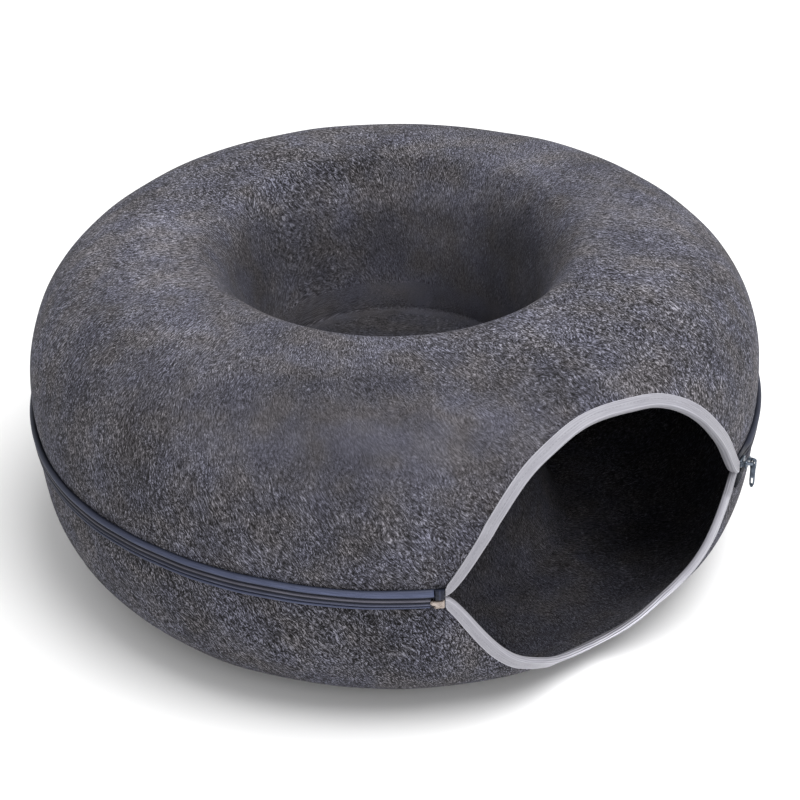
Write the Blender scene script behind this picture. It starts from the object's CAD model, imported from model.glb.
import math

import bmesh
import bpy
import numpy as np
from mathutils import Matrix, Vector


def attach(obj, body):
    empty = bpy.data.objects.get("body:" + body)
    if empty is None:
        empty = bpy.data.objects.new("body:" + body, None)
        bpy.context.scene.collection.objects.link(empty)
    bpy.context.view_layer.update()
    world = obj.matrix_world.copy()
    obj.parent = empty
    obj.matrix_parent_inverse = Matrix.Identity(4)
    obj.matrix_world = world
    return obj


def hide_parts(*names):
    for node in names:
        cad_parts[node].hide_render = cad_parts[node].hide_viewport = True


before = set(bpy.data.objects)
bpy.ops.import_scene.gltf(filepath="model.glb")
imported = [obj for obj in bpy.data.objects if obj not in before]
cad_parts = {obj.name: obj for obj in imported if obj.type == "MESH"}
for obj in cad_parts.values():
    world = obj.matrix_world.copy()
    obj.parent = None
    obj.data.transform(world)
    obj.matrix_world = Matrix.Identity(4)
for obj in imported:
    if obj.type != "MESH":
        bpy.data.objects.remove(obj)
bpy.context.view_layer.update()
print("frame loaded:", len(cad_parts), "nodes")

mm = 0.001
scene = bpy.context.scene


def addObject(name, data):
    made = bpy.data.objects.new(name, data)
    scene.collection.objects.link(made)
    return made


# Camera at the photo's angle

photoCamera = {
    "distance": 1497.0,  # from the middle of the ring's footprint
    "elevation": 35.16,
    "aim": (3.1, 0, 94.0),
    "roll": -1.273,
    "lens": 93.85,
    "sensor": 36.0,
    "clip": (0.05, 20),  # in metres
}


def makeCamera():
    # location = distance * (0, -cos e, sin e); the view is turned about its own axis by the roll
    elevation = math.radians(photoCamera["elevation"])
    data = bpy.data.cameras.new("photoCamera")
    data.lens = photoCamera["lens"]
    data.sensor_width = photoCamera["sensor"]
    data.clip_start, data.clip_end = photoCamera["clip"]
    camera = addObject("photoCamera", data)
    stand = Vector((0, -math.cos(elevation), math.sin(elevation))) * photoCamera["distance"] * mm
    aim = Vector(photoCamera["aim"]) * mm
    turn = (aim - stand).to_track_quat("-Z", "Y").to_matrix().to_4x4()
    roll = Matrix.Rotation(math.radians(photoCamera["roll"]), 4, "Z")
    camera.matrix_world = Matrix.Translation(stand) @ turn @ roll
    scene.camera = camera


makeCamera()


# Helpers: colours, nodes and meshes

def toLinear(hexColour):
    # sRGB to linear: c / 12.92 below 0.04045, otherwise ((c + 0.055) / 1.055) ** 2.4
    values = [int(hexColour[i:i + 2], 16) / 255 for i in (1, 3, 5)]
    linear = [c / 12.92 if c <= 0.04045 else ((c + 0.055) / 1.055) ** 2.4 for c in values]
    return (*linear, 1.0)


def addNode(tree, kind, inputs=None, stops=(), **settings):
    # Adds one node: settings are its options, stops the places and hex colours of a ramp, and inputs its
    # values or the sockets or nodes that feed it; a node feeds from its first output in use
    made = tree.nodes.new("ShaderNode" + kind)
    for name, value in settings.items():
        setattr(made, name, value)
    for i, (share, colour) in enumerate(stops):
        elements = made.color_ramp.elements
        element = elements[i] if i < len(elements) else elements.new(share)
        element.position = share
        element.color = toLinear(colour)
    for name, value in (inputs or {}).items():
        if isinstance(value, bpy.types.Node):
            value = next(output for output in value.outputs if output.enabled)
        if isinstance(value, bpy.types.NodeSocket):
            tree.links.new(value, made.inputs[name])
        else:
            made.inputs[name].default_value = value
    return made


def newMaterial(name):
    material = bpy.data.materials.new(name)
    material.use_nodes = True
    material.node_tree.nodes.clear()
    return material, material.node_tree


def skinMesh(name, loops, startCap, endCap, attributes):
    # Skin over closed loops (rows x corners x 3, in mm): cell (i, j) joins corners j and j + 1 of rows
    # i and i + 1, and j wraps round. A cap is a point that closes the fan, or "flat" for one flat face.
    rows, size = loops.shape[:2]
    start = np.arange(rows - 1)[:, None] * size
    here = np.arange(size)[None, :]
    after = (here + 1) % size
    quads = np.stack([start + here, start + after, start + size + after, start + size + here], -1)
    faces = quads.reshape(-1, 4).tolist()
    points = [loops.reshape(-1, 3)]
    total = rows * size
    last = (rows - 1) * size
    for cap, first, flip in ((startCap, 0, True), (endCap, last, False)):
        rim = list(range(first, first + size))
        if isinstance(cap, str):
            faces.append(rim[::-1] if flip else rim)
            continue
        points.append(np.asarray(cap, float)[None, :])
        fan = [(rim[i], rim[(i + 1) % size], total) for i in range(size)]
        faces += [face[::-1] if flip else face for face in fan]
        total += 1
    vertices = np.concatenate(points) * mm
    mesh = bpy.data.meshes.new(name)
    mesh.from_pydata(vertices, [], faces)
    mesh.validate()
    mesh.update()
    if signedVolume(mesh) < 0:
        mesh.flip_normals()
    mesh.shade_smooth()
    for label, values in attributes.items():
        kind = "FLOAT" if values.ndim == 1 else "FLOAT_VECTOR"
        field = "value" if values.ndim == 1 else "vector"
        mesh.attributes.new(label, kind, "POINT").data.foreach_set(field, values.astype(np.float32).ravel())
    return addObject(name, mesh)


def signedVolume(mesh):
    # Sum over triangles of a . (b x c) / 6, positive where the faces point outwards
    mesh.calc_loop_triangles()
    corners = np.empty(len(mesh.loop_triangles) * 3, np.int32)
    mesh.loop_triangles.foreach_get("vertices", corners)
    places = np.empty(len(mesh.vertices) * 3)
    mesh.vertices.foreach_get("co", places)
    a, b, c = places.reshape(-1, 3)[corners.reshape(-1, 3)].transpose(1, 0, 2)
    return float(np.einsum("ij,ij->", a, np.cross(b, c)) / 6)


def finishPiece(piece, material, node):
    # Gives a piece its material, body, slot and the solid that it stands for
    piece.data.materials.clear()
    piece.data.materials.append(material)
    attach(piece, "root")
    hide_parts(node)
    return piece


# Small formulas that the forms share

def sideBySide(*values):
    # Values as the columns of one array, each stretched to the shape that they share
    return np.stack(np.broadcast_arrays(*values), -1)


def runningLength(points):
    # Length along a row of points, up to each of them
    return np.concatenate([[0], np.cumsum(np.linalg.norm(np.diff(points, axis=0), axis=1))])


def bell(distance, reach):
    # 1 in the middle, falling off by exp(-(distance / reach)^2)
    return np.exp(-(distance / reach) ** 2)


def slope(value, start, over):
    # 0 up to the start, then evenly up to 1 over the given stretch
    return np.clip((value - start) / over, 0, 1)


def smoothed(share):
    # 3 s^2 - 2 s^3, from 0 to 1 with both ends level
    return share ** 2 * (3 - 2 * share)


def sineShare(steps):
    # From -1 to 1 as the sine of even steps, close together at both ends
    return np.sin(np.pi * (np.arange(steps + 1) / steps - 0.5))


def awayFrom(angle, middle):
    # Signed angle from the middle, between -180 and 180
    return np.mod(angle - middle + 180, 360) - 180


# Form of the ring: the profile of each half as a chart of lengths, with the sizes of the part's solids

ring = {
    "wallRadius": 246.3,  # of the felt at the split; the zip stands out from it
    "height": 220,
    "crestRadius": 130,
    "baseOuterRadius": 147,
    "baseInnerRadius": 122,
    "floorRadius": 91,
    "bowlFloorHeight": 115,
    "recessHeight": 107.7,
    "feltThickness": 3.5,
    "upperWallExponent": 3,  # fullness of the quarter curves
    "lowerWallExponent": 2.75,
    "rollExponent": 1.85,
    "splitGap": 1.6,
    "profileSteps": 240,  # of each quarter curve
}
profileSteps = ring["profileSteps"]
splitHeight = ring["height"] / 2

entrance = {
    "middle": 34.2,
    "halfAngle": 28,
    "upperHeight": 83.6,  # of the arch over the split
    "lowerHeight": 86,
    "upperLean": 0.025,  # how far the upper arch leans to one side
    "fullness": 3.2,  # p and q of the arch
    "flare": 1.5,
    "eases": {  # angle, reach in degrees, change of the edge's length along the wall
        "upper": [(23.5, 4.5, -2.6), (32.5, 4, 1.3), (40, 3, -0.8), (54.5, 3, -1.6)],
        "lower": [
            (21.5, 4, -5.0), (30, 4.5, 2.5), (36, 4, 5.0), (44, 4, -6.0), (50, 4, -6.5), (55.5, 3.5, -5.0)],
    },
}


def quarterCurve(start, end, exponent):
    # r = r1 + (r0 - r1) cos(t)^(2/n), z = z0 + (z1 - z0) sin(t)^(2/n), t from 0 to a quarter turn
    turn = np.linspace(0, np.pi / 2, profileSteps + 1)
    across = np.maximum(np.cos(turn), 0) ** (2 / exponent)
    up = np.sin(turn) ** (2 / exponent)
    points = sideBySide(end[0] + (start[0] - end[0]) * across, start[1] + (end[1] - start[1]) * up)
    points[-1] = end
    return points


def makeChart(points, side):
    # Lengths along a profile and its outward normals, halfway between those of the two edges at a corner and
    # stretched to keep their distance; side is 1 for the upper half and -1 for the lower
    steps = np.diff(points, axis=0)
    directions = steps / np.linalg.norm(steps, axis=1)[:, None]
    before = np.vstack([directions[:1], directions])
    after = np.vstack([directions, directions[-1:]])
    middle = before + after
    middle /= np.linalg.norm(middle, axis=1)[:, None]
    stretch = side / np.einsum("ij,ij->i", middle, before)
    normals = sideBySide(middle[:, 1], -middle[:, 0]) * stretch[:, None]
    lengths = runningLength(points)
    return {"half": "upper" if side > 0 else "lower", "side": side, "points": points, "normals": normals,
            "lengths": lengths, "wallEnd": lengths[profileSteps]}


def halfProfile(wallEnd, rollStart, middleHeight, wallExponent):
    # From the split over the crest, or under the base's flat ring, to the centre of the round middle
    wall = quarterCurve((ring["wallRadius"], splitHeight), wallEnd, wallExponent)
    roll = quarterCurve((ring["floorRadius"], middleHeight), rollStart, ring["rollExponent"])[::-1]
    if rollStart == wallEnd:
        roll = roll[1:]
    return np.vstack([wall, roll, [[0, middleHeight]]])


crest = (ring["crestRadius"], ring["height"])
upperChart = makeChart(halfProfile(crest, crest, ring["bowlFloorHeight"], ring["upperWallExponent"]), 1)
lowerChart = makeChart(
    halfProfile((ring["baseOuterRadius"], 0), (ring["baseInnerRadius"], 0), ring["recessHeight"],
                ring["lowerWallExponent"]), -1)


def alongOf(chart, column, values):
    # A chart's points or normals, both columns, looked up at lengths along the profile
    return [np.interp(values, chart["lengths"], chart[column][:, k]) for k in (0, 1)]


def onChart(chart, angle, along, lift):
    # Point of the outer face at an angle and a length along the profile, moved out by lift
    radius, height = alongOf(chart, "points", along)
    outward, upward = alongOf(chart, "normals", along)
    reach = np.maximum(radius + outward * lift, 0)
    turn = np.radians(angle)
    return sideBySide(reach * np.sin(turn), -reach * np.cos(turn), height + upward * lift)


def alongAtRise(chart, rise):
    # Length at which the wall is this far from the split, up or down
    wall = np.abs(chart["points"][:profileSteps + 1, 1] - splitHeight)
    return np.interp(rise, wall, chart["lengths"][:profileSteps + 1])


def feltEdge(chart, angle):
    # Length at which the felt starts: at the split, or at the arch h (1 - |s|^p)^q of the entrance,
    # moved by each ease's change times a bell round its angle
    share = np.clip(awayFrom(angle, entrance["middle"]) / entrance["halfAngle"], -1, 1)
    if chart["half"] == "upper":
        share = share + entrance["upperLean"] * (1 - share ** 2)
    arch = np.maximum(1 - np.abs(share) ** entrance["fullness"], 0) ** entrance["flare"]
    edge = alongAtRise(chart, ring["splitGap"] + entrance[chart["half"] + "Height"] * arch)
    for middle, reach, change in entrance["eases"][chart["half"]]:
        edge = edge + change * bell(angle - middle, reach) * (arch > 0)
    return edge


# Felt half shells

felt = {
    "entranceColumns": 110,  # of the mesh, over the entrance and round the rest
    "plainColumns": 300,
    "wallRows": 66,
    "rollRows": 50,
    "floorRows": 12,
    "innerShare": 2,  # the face inside the tunnel has a row for every two outside
    "edgeRows": (0.8, 2, 4, 7, 11, 16, 22),  # distances from the edge
    "seamSink": 1.5,  # how far the felt draws in at the zip
    "seamReach": 8,
    "press": 0.42,  # share of the felt's thickness left where the lower half's binding squeezes its edge
    "pressReach": (7.5, 7.5),  # from this far off the edge the felt swells again, and over
    "lowerShift": 1.7,  # of the lower half's waves against the upper half's
    "baseFade": (2, 12),  # height from which the unevenness grows, and over
    "middleFade": (70, 30),  # the same as a radius, round the centre
    "fibreLean": (0.12, 0.38, -10),  # slant of the nap off the profile: mean, swing, angle where it is most
    "waves": [  # soft unevenness: waves round the ring, waves per metre of profile, shift, depth
        (3, 2.1, 0.4, 0.6), (5, 3.4, 2.1, 0.45), (9, 5.2, 1.2, 0.35), (14, 9, 4, 0.22), (23, 13, 5.1, 0.13)],
    "folds": {  # angle, length up the profile, reach round, reach along, rise, change of tone
        "upper": [
            (343, 138, 34, 15, -1.2, -0.3), (14, 136, 20, 12, -1, -0.19), (5, 104, 60, 17, 1.2, 0.18),
            (352, 186, 80, 8, 0.3, 0.12), (288, 164, 55, 24, 0.8, 0.07), (178, 200, 100, 11, -1.8, -0.27),
            (182, 228, 48, 11, 2.2, 0.2), (210, 204, 30, 14, -0.8, -0.1), (146, 205, 34, 16, -0.8, -0.08),
            (7.5, 47, 24, 3.4, -0.9, -0.1), (9, 39, 22, 5, 0.7, 0.03), (312, 92, 60, 30, -0.9, -0.06),
            (68, 75, 30, 18, -0.8, -0.05), (40, 168, 40, 14, 0.7, 0.05), (331, 62, 40, 10, -0.7, -0.05),
            (345, 42, 60, 18, 0, -0.09), (120, 90, 60, 20, -1.1, -0.06), (225, 84, 70, 18, 1, 0.04),
            (272, 160, 85, 26, 0.4, 0.42), (82, 142, 70, 26, 0.4, 0.2), (66, 60, 50, 40, 0, -0.2),
            (305, 30, 60, 22, -0.3, -0.22), (40, 129, 42, 24, -0.4, -0.17), (240, 234, 56, 30, -0.4, -0.36),
            (118, 243, 44, 26, -0.4, -0.34), (177, 290, 70, 16, 0, 0.35), (5, 153, 60, 14, -0.3, -0.07),
            (339, 77, 50, 24, 0.3, 0.06)],
        "lower": [
            (330, 40, 46, 12, -0.8, -0.06), (2, 44, 30, 12, 0.8, 0.06), (48, 94, 24, 18, -2.2, 0),
            (48, 70, 26, 20, -2.2, 0), (98, 60, 60, 14, -1, -0.05), (200, 50, 70, 16, -1, -0.05)],
        "lining": [
            (60, 212, 44, 38, 0, 0.75), (84, 285, 90, 40, 0, -0.2), (40, 290, 60, 34, 0, -0.25),
            (66, 135, 60, 26, 0, -0.22), (112, 155, 70, 60, 0, 0.5)],
    },
    "bowlTone": (0.04, 8, 50),  # how much darker: at most, from this length past the crest, and over
    "floorTone": (0.46, -4, 8),  # the same past the rim of the round middle
    "seamTone": (0.22, 11),  # at most, at the split, and its reach
    "lowerTone": 0.21,
    "liningTone": 0.22,
    # roughness of the nap by length: up the wall, then past the crest into the bowl
    "upperNap": ([0, 50, 95, 135], [1.4, 1.25, 1.15, 1.15], [0, 40, 80, 120], [1.2, 0.66, 0.5, 0.54]),
    "lowerNap": ([0], [1.85], [0, 60, 120], [1.7, 0.9, 0.7]),
    "aheadNap": (1.26, 0.32, 40),  # share of the upper nap, less at the front, reach in degrees
    "smoothedNap": (0.8, -5, 42, 100, 38),  # less at the front wall: angle and reach, length and reach
    "liningNap": 1.05,
    "liningPoleNap": 0.9,
    "flatEdge": (-1, 2),  # past the rim of the round middle the nap ends to lie flat, and over
    # size and reach of the soft bends that curl the nap, then width and length of its tufts: real fibres,
    # 0.03 mm thick, are too fine to show, so the tufts are as coarse as they need to be
    "curls": [(34, 16), (5.5, 3.4)],
    "floorCurl": (20, 10),
    "coarseTuft": (1.2, 3.1),
    "fineTuft": (0.68, 1.35),
    "cloud": 45.45,  # size of the soft light and dark clouds, and of the patches of tint
    "patch": 26.32,
}


def pressed(chart, away):
    # Share of the felt's thickness at a distance from the entrance's edge: press, then a smooth rise to one
    least = felt["press"] if chart["half"] == "lower" else 1
    return least + (1 - least) * smoothed(slope(away, *felt["pressReach"]))


def ringColumns():
    # Angles of the mesh columns: sine-spaced over the entrance, even over the rest
    over = entrance["middle"] + entrance["halfAngle"] * sineShare(felt["entranceColumns"])
    rest = np.linspace(over[-1], over[0] + 360, felt["plainColumns"] + 1)
    return np.concatenate([over, rest[1:-1]])


def unevenness(chart, part, angle, along):
    # Lift: sum of d sin(turns a + s) cos(waves l + turns s), plus each fold's rise times a bell in both
    # directions; the tone follows the folds alone
    turn = np.radians(angle)
    lift = np.zeros(np.broadcast(angle, along).shape)
    tone = np.zeros_like(lift)
    upper = chart["half"] == "upper"
    for turns, waves, shift, depth in felt["waves"]:
        phase = shift if upper else shift + felt["lowerShift"]
        lift += depth * np.sin(turns * turn + phase) * np.cos(waves * 2 * np.pi * along * mm + phase * turns)
    for middle, start, reachRound, reachAlong, rise, change in felt["folds"].get(part, []):
        radius = alongOf(chart, "points", start)[0]
        away = radius * np.radians(awayFrom(angle, middle))
        bump = bell(away, reachRound) * bell(along - start, reachAlong)
        lift += rise * bump
        tone += change * bump
    radius, height = alongOf(chart, "points", along)
    if not upper:
        lift *= slope(height, *felt["baseFade"])
    return lift * slope(radius, *felt["middleFade"]), tone


def feltTone(chart, along, change):
    # Brightness of the felt: one, less the darker bowl, the seam and the lower half, plus the folds' change
    most, reach = felt["seamTone"]
    tone = 1 + change - most * bell(along, reach)
    for key, start in (("bowlTone", chart["wallEnd"]), ("floorTone", chart["lengths"][-2])):
        most, past, over = felt[key]
        tone = tone - most * slope(along, start + past, over)
    return tone - (felt["lowerTone"] if chart["half"] == "lower" else 0)


def feltNap(chart, angle, along):
    # How rough the nap looks: strong at the zip, smoother up the front wall, fine in the bowl
    wall, wallNap, bowl, bowlNap = felt[chart["half"] + "Nap"]
    places = wall + [chart["wallEnd"] + length for length in bowl]
    nap = np.interp(along, places, wallNap + bowlNap) + 0 * angle
    if chart["half"] == "lower":
        return nap
    least, middle, reach, length, reachAlong = felt["smoothedNap"]
    front = bell(awayFrom(angle, middle), reach) * bell(along - length, reachAlong)
    share, less, reach = felt["aheadNap"]
    return nap * (share - less * bell(awayFrom(angle, 0), reach)) - least * front


def feltSurface(chart, name):
    # Shell of one half: the outer face from the middle to the edge, then back inside. Each row is a length
    # along the profile, lifted by the unevenness less a bell at the split
    angles = ringColumns()[None, :]
    edge = feltEdge(chart, angles)
    lower = chart["half"] == "lower"
    steps = np.array(felt["edgeRows"])[:, None]
    wallEnd = chart["wallEnd"]
    rollStart = chart["lengths"][profileSteps + 1] if lower else wallEnd
    rollEnd, floorEnd = chart["lengths"][-2:]
    wallFrom = edge + felt["edgeRows"][-1]
    wallShare, rollShare, floorShare = [
        np.linspace(0, 1, felt[key] + 1)[1:, None] for key in ("wallRows", "rollRows", "floorRows")]
    wall = wallFrom + (wallEnd - wallFrom) * wallShare
    flat = [np.full_like(edge, rollStart)] if lower else []
    roll = rollStart + (rollEnd - rollStart) * rollShare + 0 * edge
    floor = rollEnd + (floorEnd - rollEnd) * floorShare[:-1] + 0 * edge
    along = np.vstack([edge, edge + steps, wall, *flat, roll, floor])
    uneven, change = unevenness(chart, chart["half"], angles, along)
    outLift = uneven - felt["seamSink"] * bell(along, felt["seamReach"])
    outer = onChart(chart, angles, along, outLift)
    keep = np.unique(np.r_[0:len(along):felt["innerShare"], len(along) - 1])
    overEntrance = np.abs(awayFrom(angles, entrance["middle"])) < entrance["halfAngle"]
    thick = np.where(overEntrance, pressed(chart, along[keep] - edge), 1)
    inLift = outLift[keep] - ring["feltThickness"] * thick
    inner = onChart(chart, angles, along[keep], inLift)
    loops = np.concatenate([outer[::-1], inner])
    lengths = np.concatenate([along[::-1], along[keep]])
    radius, _ = alongOf(chart, "points", lengths)
    # The nap leans: the lookup angle moves on by (mean + swing cos 2(a - a0)) length / radius
    mean, swing, most = felt["fibreLean"]
    lean = mean + swing * np.cos(2 * np.radians(angles - most))
    turn = np.radians(angles) + lean * lengths * chart["side"] / ring["wallRadius"]
    fibre = sideBySide(
        ring["wallRadius"] * np.cos(turn), ring["wallRadius"] * np.sin(turn), lengths * chart["side"])
    past, over = felt["flatEdge"]
    flatness = 1 - slope(radius, ring["floorRadius"] + past, over)
    tone = feltTone(chart, along, change)
    deep = unevenness(chart, "lining" if lower else "", angles, along[keep])[1]
    tones = np.concatenate([tone[::-1], 1 - felt["liningTone"] + deep])
    nap = feltNap(chart, angles, along)
    naps = np.concatenate([nap[::-1], np.full_like(along[keep], felt["liningNap"])])
    level = chart["points"][-1, 1]
    centreOut = (0, 0, level)
    centreIn = (0, 0, level - chart["side"] * ring["feltThickness"])
    poles = np.array([[0, 0, floorEnd * chart["side"]]] * 2)
    attributes = {
        "fibre": np.vstack([fibre.reshape(-1, 3), poles]) * mm,
        "floorShare": np.concatenate([flatness.ravel(), [1, 1]]),
        "tone": np.concatenate([tones.ravel(), [tone[-1, 0], 1 - felt["liningTone"]]]),
        "nap": np.concatenate([naps.ravel(), [nap[-1, 0], felt["liningPoleNap"]]]),
    }
    return skinMesh(name, loops, centreOut, centreIn, attributes)


def feltMaterial():
    # Needle-punched polyester felt in mixed greys: matt, with light and dark fibres combed down the wall
    material, tree = newMaterial("needlePunchedFelt")
    fibre = addNode(tree, "Attribute", attribute_name="fibre").outputs["Vector"]
    floorShare, tone, nap = [addNode(tree, "Attribute", attribute_name=name).outputs["Fac"]
                             for name in ("floorShare", "tone", "nap")]
    objectPlace = addNode(tree, "TexCoord").outputs["Object"]

    def bent(source, size, reach):
        # Moves the lookup by a soft noise of the given size, so that the fibres lie in curls
        noise = addNode(tree, "TexNoise", {"Scale": 1 / (size * mm), "Detail": 1, "Vector": source})
        middle = addNode(tree, "VectorMath", {0: noise.outputs["Color"], 1: (0.5,) * 3}, operation="SUBTRACT")
        return addNode(tree, "VectorMath", {0: middle, 1: (reach * mm,) * 3, 2: source},
                       operation="MULTIPLY_ADD")

    curled = fibre
    for size, reach in felt["curls"]:
        curled = bent(curled, size, reach)
    floorPlace = bent(objectPlace, *felt["floorCurl"])

    def tufts(size, seed):
        # Noise stretched along the nap; the flat floor has its fibres across the bed
        wide, long = [1 / (side * mm) for side in size]
        laid = addNode(tree, "Mapping", {
            "Location": (seed, seed * 0.7, 0), "Scale": (wide, wide, long), "Vector": curled})
        onFloor = addNode(tree, "Mapping", {
            "Location": (seed, 0, 0), "Scale": (long, wide, wide), "Vector": floorPlace})
        where = addNode(tree, "Mix", {"Factor": floorShare, "A": laid, "B": onFloor}, data_type="VECTOR")
        return addNode(tree, "TexNoise", {"Scale": 1, "Detail": 2, "Roughness": 0.62, "Vector": where})

    coarse = tufts(felt["coarseTuft"], 3.1)
    fine = tufts(felt["fineTuft"], 7.7)
    cloud = addNode(tree, "TexNoise", {
        "Scale": 1 / (felt["cloud"] * mm), "Detail": 3, "Roughness": 0.6, "Vector": objectPlace})
    together = addNode(tree, "Mix", {"Factor": 0.5, "A": coarse, "B": fine})
    # level: 0.43 + (noise - 0.5) nap + 0.14 cloud
    spread = addNode(tree, "Math", {0: together, 1: 0.5}, operation="SUBTRACT")
    scaled = addNode(tree, "Math", {0: spread, 1: nap, 2: 0.43}, operation="MULTIPLY_ADD")
    level = addNode(tree, "Math", {0: cloud, 1: 0.14, 2: scaled}, operation="MULTIPLY_ADD")
    colour = addNode(tree, "ValToRGB", {"Fac": level}, [
        (0.33, "#131212"), (0.43, "#2a292c"), (0.5, "#403f44"), (0.57, "#5b5a61"), (0.68, "#91909a")])
    # faint blue and brown patches, as in yarn of mixed waste fibre
    patch = addNode(tree, "TexNoise", {"Scale": 1 / (felt["patch"] * mm), "Detail": 2, "Vector": objectPlace})
    tint = addNode(tree, "ValToRGB", {"Fac": patch}, [(0.35, "#fdf9f2"), (0.5, "#f8f8fa"), (0.65, "#f3f5ff")])
    tinted = addNode(tree, "VectorMath", {0: colour, 1: tint}, operation="MULTIPLY")
    toned = addNode(tree, "VectorMath", {0: tinted, "Scale": tone}, operation="SCALE")
    bump = addNode(tree, "Bump", {"Strength": 0.6, "Distance": 0.6 * mm, "Height": level})
    shader = addNode(tree, "BsdfPrincipled", {
        "Base Color": toned, "Normal": bump, "Roughness": 0.95, "Specular IOR Level": 0.12,
        "Sheen Weight": 0.1, "Sheen Roughness": 0.5, "Sheen Tint": toLinear("#84848e")})
    addNode(tree, "OutputMaterial", {"Surface": shader})
    return material


feltGrey = feltMaterial()
for chart, name, node in ((upperChart, "upperFelt", "upper_shell"), (lowerChart, "lowerFelt", "lower_shell")):
    shell = finishPiece(feltSurface(chart, name), feltGrey, node)
print("felt shells done")


# Binding of the entrance

binding = {
    "width": 6.6,
    "thickness": 1,
    "feltGap": 0.4,  # room between tape and felt, outside and at the edge
    "liningGap": {"upper": 0.6, "lower": 0.3},
    "steps": 190,  # along the entrance
    "faceRows": 31,
    "foldRows": 30,
    "faceRibs": 5,
    "foldRibs": 4,
    "ribHeight": 0.1,
    "foldRibHeight": 0.24,
    "leastRib": 0.2,  # share of the ribs' height that stays where they are shallow
    "edgeRoll": (0.22, 0.08),  # rise of the face's far edge, and its reach as a share of the width
    "edgeLight": (0.42, 0.7, 0.06),  # at the far edge, share of it at the fold, reach as a share of the width
    "threads": (0.66, 0.52),  # pitch across the tape and along it; half of it would be real, too fine to show
    "streak": (14.286, 0.7143),  # length and width of the light and dark streaks along every tape
    "stitchPlace": 0.5,  # share of the face's width
    "stitchWidth": 0.42,
    "stitchLength": 2.6,
    "tipLength": 2.6,
    "tipRows": 12,
    "tipDrop": (-0.3, 0.1, -1.0),  # direction of the tip round the ring, outwards and up
    # the upper tape's end laps over the lower one: from an angle, and over, shift round the ring, out and up
    "overlap": (55.5, 6.1, -1.3, 1.3, -4.0),
    # turn of the wave from the middle to an end in radians, its height, and shift: first for the face's rise,
    # then for the place of the lines between the ribs
    "puckers": [(11, 0.16, 0.3), (23, 0.1, 1.9), (47, 0.06, 4.2)],
    "wander": [(9, 0.9, 1), (23, 0.6, 0.2), (61, 0.3, 2.2)],
    # by angle: share of the face's width, depth of the ribs and the lines between them, brightness, and how
    # much that fades over the fold to the lining
    "upper": [
        (6, 0.68, 0.12, 1.05, 0), (9, 0.9, 0.1, 1.04, 0), (14, 1.08, 0.1, 1.02, 0), (24, 1.1, 0.1, 1, 0),
        (32, 1.03, 0.12, 1, 0), (50, 1, 0.25, 1, 0), (62, 0.95, 0.3, 0.98, 0)],
    "lower": [
        (6, 0.74, 0.12, 1.1, 0), (10, 0.9, 0.15, 1.1, 0), (14, 1, 0.2, 1.1, 0), (22, 1, 0.4, 1.2, 0.2),
        (32, 0.9, 0.8, 2.1, 0.8), (38, 0.75, 0.9, 2.5, 1), (44, 0.6, 0.9, 2.5, 1), (48, 0.6, 0.5, 1.8, 0.6),
        (51, 0.58, 0.1, 1.35, 0.2), (58.8, 0.56, 0.05, 1.25, 0.1), (59.3, 0.66, 0.3, 0.95, 0),
        (62, 0.5, 0.2, 0.9, 0)],
    "fade": (1.4, 1.15),  # at the face, and how much less at the lining
    "insidePoints": 6,  # of the section, on the side against the felt
}


def bindingLoop(chart):
    # Closed section of the folded tape: outer face, fold, lining face, back inside. Columns: across, lift,
    # place among the ribs, depth of the lines between them, the ribs' rise across and as lift. The ribs are
    # cosines over the face's width and over the fold's half turn
    near = binding["feltGap"]
    far = near + binding["thickness"]
    back = -ring["feltThickness"] * pressed(chart, 0) - binding["liningGap"][chart["half"]]
    lining = back - binding["thickness"]
    width = binding["width"]
    face = np.linspace(1, 0, binding["faceRows"])
    ribs = 2 * np.pi * binding["faceRibs"] * face
    rise = binding["ribHeight"]
    most, reach = binding["edgeRoll"]
    roll = most * bell(1 - face, reach)
    outer = sideBySide(width * face, far + roll, ribs, 0.3, 0, rise)
    turn = np.linspace(0, np.pi, binding["foldRows"])[1:-1]
    fold = sideBySide(
        -far * np.sin(turn), (far + lining) / 2 + (far - lining) / 2 * np.cos(turn),
        2 * binding["foldRibs"] * turn, 1, -binding["foldRibHeight"] * np.sin(turn), 0)
    inner = sideBySide(width * face[::-1], lining, ribs[::-1], 0, 0, -rise)
    inside = np.array([(along, lift, 0, 0, 0, 0) for along, lift in (
        (width, back), (width / 2, back), (-near, back), (-near, near), (width / 2, near), (width, near))])
    return np.vstack([outer, fold, inner, inside])


def besideEntrance(chart, angles, across, lift):
    # Carries the section square to the entrance's edge: with lean the sine of the edge's slope, a point moves
    # across * sqrt(1 - lean^2) along the profile and -across * lean round it, and takes on the felt's lift
    reach = 0.05  # degrees to each side over which the slope is taken
    left = np.maximum(angles - reach, entrance["middle"] - entrance["halfAngle"])
    right = np.minimum(angles + reach, entrance["middle"] + entrance["halfAngle"])
    edge = feltEdge(chart, angles)
    radius = alongOf(chart, "points", edge)[0]
    run = radius * np.radians(right - left)
    rise = feltEdge(chart, right) - feltEdge(chart, left)
    toCorner = np.radians(entrance["halfAngle"] - np.abs(angles - entrance["middle"]))
    room = np.minimum(radius * toCorner / binding["width"], 1)
    lean = np.clip(rise / np.hypot(run, rise), -room, room)[:, None]
    along = edge[:, None] + across * np.sqrt(1 - lean ** 2)
    turn = np.degrees(-across * lean / alongOf(chart, "points", np.maximum(along, 0))[0])
    uneven = unevenness(chart, chart["half"], angles[:, None] + turn, along)[0]
    return onChart(chart, angles[:, None] + turn, along, lift + uneven)


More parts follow.
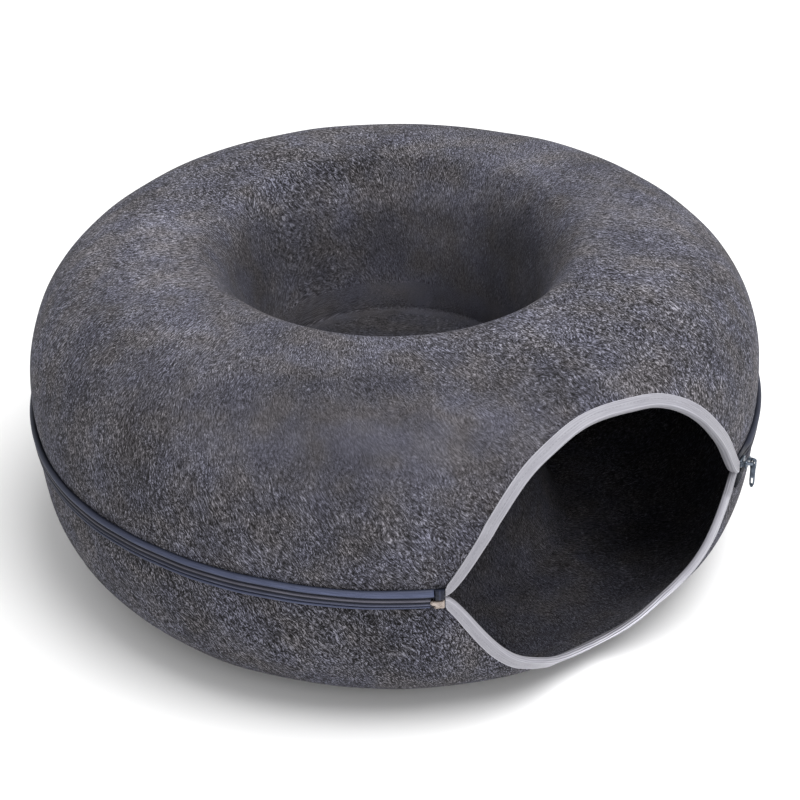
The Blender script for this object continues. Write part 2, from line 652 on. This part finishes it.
def bindingTip(loops):
    # Rounded end: over a quarter turn t the last section moves on by l sin(t) and shrinks by sqrt(cos(t))
    last = loops[-1]
    middle = last.mean(axis=0)
    onward = middle - loops[-3].mean(axis=0)
    onward /= np.linalg.norm(onward)
    outward = middle * (1, 1, 0) / np.hypot(*middle[:2])
    sideways = np.array([-outward[1], outward[0], 0])
    roundwards, out, up = binding["tipDrop"]
    goal = sideways * roundwards + outward * out + (0, 0, up)
    turn = np.linspace(0, np.pi / 2, binding["tipRows"] + 1)[1:-1]
    share = np.sin(turn)[:, None, None]
    heading = onward * (1 - share) + goal / np.linalg.norm(goal) * share
    size = np.cos(turn)[:, None, None] ** 0.5
    centre = middle + binding["tipLength"] * share * heading
    tip = centre + (last - middle)[None] * size
    return np.concatenate([loops, tip]), centre[-1, 0]


def bindingSurface(chart, name):
    # Section carried along the entrance's edge and scaled by its half's table; also gives the tape's length
    # and girth
    share = sineShare(binding["steps"])
    angles = entrance["middle"] + entrance["halfAngle"] * share
    section = bindingLoop(chart)
    across, lift, ribs, lines, ribAcross, ribLift = section.T
    puff = sum(rise * np.sin(waves * share[:, None] + shift) for waves, rise, shift in binding["puckers"])
    places, *columns = np.array(binding[chart["half"]]).T
    widths, grooves, brightness, fades = [np.interp(angles, places, column)[:, None] for column in columns]
    wander = sum(turn * np.sin(waves * share[:, None] + shift) for waves, turn, shift in binding["wander"])
    wave = np.cos(ribs + wander)
    raised = wave * np.clip(2 * grooves, binding["leastRib"], 1)
    face = across * np.where(across > 0, widths, 1)
    span = across / binding["width"]
    outside = np.clip(span, 0, 1) * (lift > 0)
    loops = besideEntrance(chart, angles, face + ribAcross * raised, lift + ribLift * raised + puff * outside)
    # line between ribs: depth times ((1 - wave) / 2)^2
    groove = lines * ((1 - wave) / 2) ** 2 * grooves
    # the tape's woven edges catch the light: a bell at the face's far edge and a lower one at its fold
    light, atFold, reach = binding["edgeLight"]
    rim = (bell(1 - span, reach) + atFold * bell(span, reach)) * (lift > 0)
    most, less = binding["fade"]
    depth = (lift.max() - lift) / np.ptp(lift)
    bright = brightness * (1 + light * rim) * (1 - fades + fades * (most - less * depth))
    endCap = "flat"
    if chart["half"] == "upper":
        first, over, *shift = binding["overlap"]
        sideways, outward, up = [amount * smoothed(slope(angles, first, over)) for amount in shift]
        turn = np.radians(angles)
        loops = loops + sideBySide(
            sideways * np.cos(turn) + outward * np.sin(turn),
            sideways * np.sin(turn) - outward * np.cos(turn), up)[:, None, :]
        loops, endCap = bindingTip(loops)
        more = len(loops) - len(groove)
        groove, bright = [np.vstack([values, np.repeat(values[-1:], more, 0)]) for values in (groove, bright)]
    run = runningLength(loops.mean(axis=1))
    girth = runningLength(section[:, :2])
    weave = sideBySide(run[:, None] * mm, girth * mm, groove).reshape(-1, 3)
    bright = bright.ravel()
    if not isinstance(endCap, str):
        weave = np.vstack([weave, weave[-1:]])
        bright = np.append(bright, bright[-1])
    piece = skinMesh(name, loops, "flat", endCap, {"weave": weave, "bright": bright})
    return piece, run[-1], girth[-binding["insidePoints"]]


def threads(tree, weave, pitchAcross, pitchAlong):
    # Plain weave: sin(2 pi run / pitch) times sin(2 pi girth / pitch), plus streaks along the tape
    split = addNode(tree, "SeparateXYZ", {"Vector": weave})
    waves = []
    for axis, pitch in (("X", pitchAlong), ("Y", pitchAcross)):
        scaled = addNode(tree, "Math", {0: split.outputs[axis], 1: 2 * math.pi / (pitch * mm)},
                         operation="MULTIPLY")
        waves.append(addNode(tree, "Math", {0: scaled}, operation="SINE"))
    crossed = addNode(tree, "Math", {0: waves[0], 1: waves[1]}, operation="MULTIPLY")
    long, wide = [1 / (size * mm) for size in binding["streak"]]
    stretched = addNode(tree, "Mapping", {"Scale": (long, wide, 1), "Vector": weave})
    streak = addNode(tree, "TexNoise", {"Scale": 1, "Detail": 3, "Roughness": 0.6, "Vector": stretched})
    return split, addNode(tree, "Math", {0: crossed, 1: 0.11, 2: streak}, operation="MULTIPLY_ADD")


def bindingMaterial():
    # Pale grey polyester grosgrain: fine crosswise threads, ribs along it, soft shine, a stitch line
    material, tree = newMaterial("paleGrosgrain")
    weave = addNode(tree, "Attribute", attribute_name="weave").outputs["Vector"]
    split, woven = threads(tree, weave, *binding["threads"])
    colour = addNode(tree, "ValToRGB", {"Fac": woven}, [
        (0.28, "#7a7981"), (0.5, "#84838a"), (0.72, "#8e8e95")])
    # stitches: dashes where the girth is near the stitch line
    onLine = addNode(tree, "Math", {
        0: split.outputs["Y"], 1: binding["width"] * (1 - binding["stitchPlace"]) * mm,
        2: binding["stitchWidth"] / 2 * mm}, operation="COMPARE")
    beat = addNode(tree, "Math", {0: split.outputs["X"], 1: 2 * math.pi / (binding["stitchLength"] * mm)},
                   operation="MULTIPLY")
    beatWave = addNode(tree, "Math", {0: beat}, operation="SINE")
    dash = addNode(tree, "Math", {0: beatWave, 1: 0.1}, operation="GREATER_THAN")
    stitch = addNode(tree, "Math", {0: onLine, 1: dash}, operation="MULTIPLY")
    darker = addNode(tree, "Math", {0: stitch, 1: 0.2, 2: split.outputs["Z"]}, operation="MULTIPLY_ADD")
    shaded = addNode(tree, "Mix", {"Factor": darker, "A": colour, "B": toLinear("#1b1c20")}, data_type="RGBA")
    bright = addNode(tree, "Attribute", attribute_name="bright").outputs["Fac"]
    lit = addNode(tree, "VectorMath", {0: shaded, "Scale": bright}, operation="SCALE")
    height = addNode(tree, "Math", {0: stitch, 1: 0.5, 2: woven}, operation="MULTIPLY_ADD")
    bump = addNode(tree, "Bump", {"Strength": 0.35, "Distance": 0.12 * mm, "Height": height})
    shader = addNode(tree, "BsdfPrincipled", {
        "Base Color": lit, "Normal": bump, "Roughness": 0.5, "Specular IOR Level": 0.35,
        "Sheen Weight": 0.15, "Sheen Roughness": 0.4})
    addNode(tree, "OutputMaterial", {"Surface": shader})
    return material


bindingGrey = bindingMaterial()
for chart, name, node in ((upperChart, "upperBinding", "binding_upper"),
                          (lowerChart, "lowerBinding", "binding_lower")):
    piece, length, girth = bindingSurface(chart, name)
    finishPiece(piece, bindingGrey, node)
print("bindings done")


# Zip round the closed part of the ring

zipBand = {
    "stepLength": 2.0,  # of the mesh round the ring
    "smooth": 2,  # rounds of corner cutting
    "threads": (0.5, 0.7),  # pitch across the tape and along it
    "topFrom": (4, 2.4),  # height above which the flap's upper edge drops, and over
    # by angle, drops below the level line: of the lip and ridges, of the whole zip, of the flap's upper edge
    "lipDrop": [
        (62, -1.2), (70, -0.4), (80, 0), (340, 0), (348, -0.5), (354, -1.1), (358, -1.6), (364, -2.0)],
    "bandDrop": [
        (62, 0), (240, 0), (275, -1.6), (292, -2.6), (300, -2.2), (308, -1.4), (316, -0.5), (325, 0)],
    "topDrop": [(62, 0), (340, 0), (350, -0.7), (358, -1.0), (366, -1.1)],
    "press": [(62, 0.3), (65.4, 0.3), (67.5, 1), (366, 1)],  # share of the lift left beside the slider
    "dark": [  # share of the full colour
        (62, 0.06), (65.4, 0.1), (68, 0.3), (80, 0.28), (110, 0.45), (250, 0.45), (280, 0.33), (300, 0.45),
        (315, 0.58), (335, 0.82), (350, 1)],
    "waver": [(17, 0.12, 0.4), (41, 0.08, 2.2)],  # waves round the ring, rise, shift
    # sections: lift, height, share of the lip's drop, shade from dark to full colour, greyness
    "flap": {
        "span": (62.5, 364.6),
        "section": [
            (-1.2, 6.9, 0, 0.2, 0), (0.3, 7.4, 0, 0.25, 0), (1.2, 7.2, 0.1, 0.6, 0),
            (2.1, 6.5, 0.35, 0.85, 0), (2.6, 5.6, 0.6, 1, 0), (2.7, 4.7, 0.85, 1, 0), (2.4, 3.95, 1, 0.6, 0),
            (1.9, 3.6, 1, 0.25, 0), (1.3, 3.8, 1, 0.1, 0), (1, 4.6, 1, 0.1, 0), (-1.2, 5.2, 0.6, 0.1, 0)],
    },
    "chain": {
        "span": (64.4, 364.1),
        "section": [
            (-1.2, 3.5, 1, 0.05, 0), (0.8, 3.3, 1, 0.05, 0), (0.8, 2.3, 1, 0.05, 0), (1.5, 1.9, 1, 0.5, 1),
            (2.1, 1.4, 1, 1, 1), (2.1, 0.6, 1, 1, 1), (1.5, 0.1, 1, 0.6, 0.8), (0.8, -0.3, 1, 0.08, 0),
            (0.8, -1.3, 0.9, 0.08, 0), (1.4, -1.8, 0.85, 0.5, 0.4), (1.9, -2.2, 0.8, 0.9, 0.4),
            (1.9, -2.8, 0.8, 0.9, 0.4), (1.4, -3.3, 0.75, 0.5, 0.2), (0.8, -3.6, 0.7, 0.5, 0),
            (0.8, -4.2, 0.6, 0.45, 0), (-1.2, -4.2, 0.6, 0.1, 0)],
    },
    "lowerTape": {
        "span": (62.5, 364.1),
        "section": [
            (-1.2, -4.3, 0.5, 0.1, 0), (0.7, -4.4, 0.5, 0.45, 0), (1.2, -4.8, 0.4, 0.8, 0),
            (1.5, -5.4, 0.3, 1, 0.1), (1.3, -6.1, 0.2, 0.9, 0.1), (0.7, -6.7, 0.1, 0.3, 0),
            (-1.2, -7, 0, 0.1, 0)],
    },
}


def smoothLoop(points, rounds):
    # Corner cutting: each edge gives points at its quarter and three quarters
    loop = np.asarray(points, float)
    for _ in range(rounds):
        after = np.roll(loop, -1, axis=0)
        cuts = [0.75 * loop + 0.25 * after, 0.25 * loop + 0.75 * after]
        loop = np.stack(cuts, 1).reshape(-1, loop.shape[1])
    return loop


def zipDrop(angle, share):
    # Height against the zip's level line: the band's drop at the angle, a waver of sines, and the point's
    # share of the lip's drop
    lip, band = [np.interp(angle, *zip(*zipBand[key])) for key in ("lipDrop", "bandDrop")]
    waver = sum(rise * np.sin(waves * np.radians(angle) + shift) for waves, rise, shift in zipBand["waver"])
    return band + waver + share * lip


def onWall(angle, lift, height):
    # Point beside the outer wall: radius = wall radius + lift
    turn = np.radians(angle)
    radius = ring["wallRadius"] + lift
    return sideBySide(radius * np.sin(turn), -radius * np.cos(turn), splitHeight + height)


def stripSurface(name, part):
    # The section carried round the ring: height = section height + drop, lift pressed beside the slider
    low, high = part["span"]
    steps = int(math.radians(high - low) * ring["wallRadius"] / zipBand["stepLength"])
    angles = np.linspace(low, high, steps + 1)[:, None]
    section = smoothLoop(part["section"], zipBand["smooth"])
    lift, height, share, shade, grey = section.T[:, None, :] + 0 * angles
    topDrop, dark, press = [np.interp(angles, *zip(*zipBand[key])) for key in ("topDrop", "dark", "press")]
    top = topDrop * slope(height, *zipBand["topFrom"])
    lift = np.where(lift > 0, lift * press, lift)
    loops = onWall(angles, lift, height + zipDrop(angles, share) + top)
    girth = runningLength(section[:, :2])
    weave = sideBySide(np.radians(angles) * ring["wallRadius"], girth, 0)
    attributes = {"weave": weave.reshape(-1, 3) * mm, "shade": (shade * dark).ravel(), "grey": grey.ravel()}
    return skinMesh(name, loops, "flat", "flat", attributes)


def tapeMaterial(name, colours, greys, dark, roughness, satin):
    # Woven tape: threads along and across it, darker in its grooves and greyer on its ridges
    material, tree = newMaterial(name)
    weave = addNode(tree, "Attribute", attribute_name="weave").outputs["Vector"]
    shade, grey = [addNode(tree, "Attribute", attribute_name=label).outputs["Fac"]
                   for label in ("shade", "grey")]
    woven = threads(tree, weave, *zipBand["threads"])[1]
    coloured, greyed = [addNode(tree, "ValToRGB", {"Fac": woven}, stops) for stops in (colours, greys)]
    face = addNode(tree, "Mix", {"Factor": grey, "A": coloured, "B": greyed}, data_type="RGBA")
    full = addNode(tree, "Mix", {"Factor": shade, "A": toLinear(dark), "B": face}, data_type="RGBA")
    bump = addNode(tree, "Bump", {"Strength": 0.3, "Distance": 0.1 * mm, "Height": woven})
    shader = addNode(tree, "BsdfPrincipled", {
        "Base Color": full, "Normal": bump, "Roughness": roughness, "Specular IOR Level": satin})
    addNode(tree, "OutputMaterial", {"Surface": shader})
    return material


# Navy polyester zip tape with a satin face; its two ridges have worn greyer
zipNavy = tapeMaterial(
    "navyZipTape", [(0.3, "#3a4055"), (0.5, "#474d65"), (0.7, "#545a73")],
    [(0.3, "#464550"), (0.5, "#565560"), (0.7, "#676671")], "#0a0c15", 0.55, 0.22)
for key, name, node in (("flap", "zipFlap", "zip_tape_upper"), ("chain", "zipRidges", "zip_chain"),
                        ("lowerTape", "zipLowerTape", "zip_tape_lower")):
    finishPiece(stripSurface(name, zipBand[key]), zipNavy, node)
print("zip strips done")


# Ends of the zip tape at the entrance's corners

tapeEnds = {
    "columns": 26,
    "rows": 30,
    "back": -0.8,  # lift of the side against the felt
    "sideRound": 10,  # power of the rounding at the sides
    "crumples": [(7, 1.9), (13, -3.1)],  # radians per degree round the ring, and per mm up the wall
    "ridgeShade": 0.8,  # how much brighter a rise of 1 mm is
    # rows: height, first angle, last angle, lift; then a ridge (angle, reach, rise) and the fray in degrees
    "lap": {
        "rows": [(5.9, 364.66, 366.12, 0.9), (5.7, 364.66, 366.12, 2.4), (4.2, 364.66, 366.12, 3.0),
                 (2.2, 364.66, 366.12, 3.1), (0.2, 364.66, 366.12, 2.9), (-0.9, 364.7, 366.12, 1.9)],
        "ridge": (365.35, 0.13, 0.35), "fray": 0, "crumple": 0.04, "shade": 0.12, "seed": 3,
    },
    "stub": {
        "rows": [(-2.1, 364.2, 366.12, 2.2), (-2.6, 364.05, 366.12, 2.4), (-3.4, 363.95, 366.12, 2.5),
                 (-4.1, 364.05, 366.12, 2.5), (-4.3, 364.5, 366.12, 2.4), (-5.2, 364.6, 366.12, 2.4),
                 (-6.2, 364.5, 366.12, 2.2), (-6.9, 364.55, 366.12, 1.9)],
        "ridge": (365.4, 0.3, -0.25), "fray": 0.2, "crumple": 0.07, "shade": 0.85, "seed": 5,
    },
    "tail": {
        "rows": [(-6.9, 62.45, 66.9, 1.2), (-8.5, 62.45, 66.4, 1.5), (-10.5, 62.4, 65.5, 1.6),
                 (-13, 62.35, 64.0, 1.5), (-15, 62.2, 63.1, 1.3), (-16.4, 62.1, 62.5, 1)],
        "ridge": (63.6, 0.5, 0.25), "fray": 0.12, "crumple": 0.15, "shade": -0.1, "seed": 7,
    },
}


def tapeEndSurface(name, part):
    # Patch on the wall: at each height from the first angle to the last, its front at (1 - |2 s - 1|^10) of
    # the lift plus ridge and crumple, its back against the felt; the free side frays by random steps
    chance = np.random.default_rng(part["seed"])
    table = np.array(part["rows"])
    share = np.linspace(0, 1, tapeEnds["rows"])
    places = np.linspace(0, 1, len(table))
    height, first, last, lift = [np.interp(share, places, column)[:, None] for column in table.T]
    fray = part["fray"] * chance.random(tapeEnds["rows"])[:, None]
    if first.mean() > 180:  # at the left corner the free side is the first one
        first = first + fray
    else:
        last = last - fray
    across = np.linspace(0, 1, tapeEnds["columns"])
    angle = first + (last - first) * across
    middle, reach, rise = part["ridge"]
    crumple = part["crumple"] * sum(
        np.sin(roundwards * angle + upwards * height) for roundwards, upwards in tapeEnds["crumples"])
    top = (1 - np.abs(2 * across - 1) ** tapeEnds["sideRound"]) * lift
    front = top + rise * bell(angle - middle, reach) + crumple * (1 - np.abs(2 * across - 1) ** 2)
    back = angle[:, ::-1]
    loops = np.hstack([onWall(angle, front, height), onWall(back, tapeEnds["back"], height)])
    weave = sideBySide(np.radians(np.hstack([angle, back])) * ring["wallRadius"], height, 0)
    shade = np.hstack([part["shade"] + tapeEnds["ridgeShade"] * (front - top), 0 * front])
    attributes = {"weave": weave.reshape(-1, 3) * mm, "shade": np.clip(shade, 0, 1).ravel(),
                  "grey": np.zeros(shade.size)}
    return skinMesh(name, loops, "flat", "flat", attributes)


# Bare cut end of the tape: unbleached polyester, matt and frayed
bareShades = [(0.3, "#93877f"), (0.5, "#aca099"), (0.7, "#bdb3ad")]
bareTape = tapeMaterial("bareTapeEnd", bareShades, bareShades, "#463b31", 0.85, 0.1)
for key, name, material, slot, node in (
        ("lap", "foldedLap", zipNavy, "zip_tape", "zip_folded_end"),
        ("stub", "frayedStub", bareTape, "bare_tape", "zip_tape_stub"),
        ("tail", "hangingTail", zipNavy, "zip_tape", "zip_tape_tail")):
    finishPiece(tapeEndSurface(name, tapeEnds[key]), material, node)
print("tape ends done")


# Slider and pull

metal = {
    "edge": 0.2,  # rounding of the corners
    "segments": 2,
    "sharp": 35,  # degrees from which a corner is rounded
    "flat": 1,  # degrees up to which faces are merged
    "weld": 0.002,
    "pit": 0.35,  # size of the pits, coarser than real ones so that they show
    "cloud": 3.846,  # size of the lighter and darker clouds
}


def castingMaterial():
    # Zinc die casting with a dark blue-grey plating: half gloss, with faint pits from the mould
    material, tree = newMaterial("platedZincCasting")
    objectPlace = addNode(tree, "TexCoord").outputs["Object"]
    pits, cloud = [
        addNode(tree, "TexNoise", {"Scale": 1 / (metal[key] * mm), "Detail": 2, "Vector": objectPlace})
        for key in ("pit", "cloud")]
    colour = addNode(tree, "ValToRGB", {"Fac": cloud}, [
        (0.35, "#434b55"), (0.5, "#535c67"), (0.65, "#68717d")])
    gloss = addNode(tree, "MapRange", {
        "Value": pits, "From Min": 0.3, "From Max": 0.7, "To Min": 0.28, "To Max": 0.5})
    bump = addNode(tree, "Bump", {"Strength": 0.25, "Distance": 0.05 * mm, "Height": pits})
    shader = addNode(tree, "BsdfPrincipled", {
        "Base Color": colour, "Normal": bump, "Roughness": gloss, "Metallic": 0.85})
    addNode(tree, "OutputMaterial", {"Surface": shader})
    return material


def castPiece(node, name):
    # The solid's own form with its corners rounded
    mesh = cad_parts[node].data.copy()
    mesh.name = name
    form = bmesh.new()
    form.from_mesh(mesh)
    bmesh.ops.remove_doubles(form, verts=form.verts, dist=metal["weld"] * mm)
    flat = math.radians(metal["flat"])
    bmesh.ops.dissolve_limit(form, angle_limit=flat, verts=form.verts, edges=form.edges)
    form.to_mesh(mesh)
    form.free()
    mesh.shade_smooth()
    made = addObject(name, mesh)
    bevel = made.modifiers.new("roundedEdges", "BEVEL")
    bevel.width = metal["edge"] * mm
    bevel.segments = metal["segments"]
    bevel.limit_method = "ANGLE"
    bevel.angle_limit = math.radians(metal["sharp"])
    bevel.harden_normals = True
    return made


plating = castingMaterial()
for node, name in (("zip_slider", "sliderBody"), ("zip_pull", "sliderPull")):
    finishPiece(castPiece(node, name), plating, node)
print("slider done")


# Floor and light

studio = {  # in metres and watts
    "floorColour": "#f4f4f4",
    "floorSize": 12,
    "world": 0.72,
    "aim": (0, 0, 0.1),
    "top": {"power": 68, "size": 2.0, "place": (0.7, -0.5, 2.3)},
    "front": {"power": 14, "size": 1.6, "place": (1.3, -2.3, 1.3)},
}


def makeStudio():
    half = studio["floorSize"] / 2
    mesh = bpy.data.meshes.new("studioFloor")
    corners = [(-half, -half, 0), (half, -half, 0), (half, half, 0), (-half, half, 0)]
    mesh.from_pydata(corners, [], [(0, 1, 2, 3)])
    floor = addObject("studioFloor", mesh)
    material, tree = newMaterial("paleStudioPaper")
    shader = addNode(tree, "BsdfPrincipled", {
        "Base Color": toLinear(studio["floorColour"]), "Roughness": 0.9, "Specular IOR Level": 0.1})
    addNode(tree, "OutputMaterial", {"Surface": shader})
    mesh.materials.append(material)
    world = bpy.data.worlds.new("studioWorld")
    world.use_nodes = True
    background = world.node_tree.nodes["Background"].inputs
    background["Color"].default_value = (1, 1, 1, 1)
    background["Strength"].default_value = studio["world"]
    scene.world = world
    for name in ("top", "front"):
        data = bpy.data.lights.new(name + "Softbox", "AREA")
        data.shape = "DISK"
        data.size = studio[name]["size"]
        data.energy = studio[name]["power"]
        light = addObject(name + "Softbox", data)
        stand = Vector(studio[name]["place"])
        light.location = stand
        light.rotation_euler = (Vector(studio["aim"]) - stand).to_track_quat("-Z", "Y").to_euler()
    scene.view_settings.view_transform = "Standard"


makeStudio()
print("studio done")
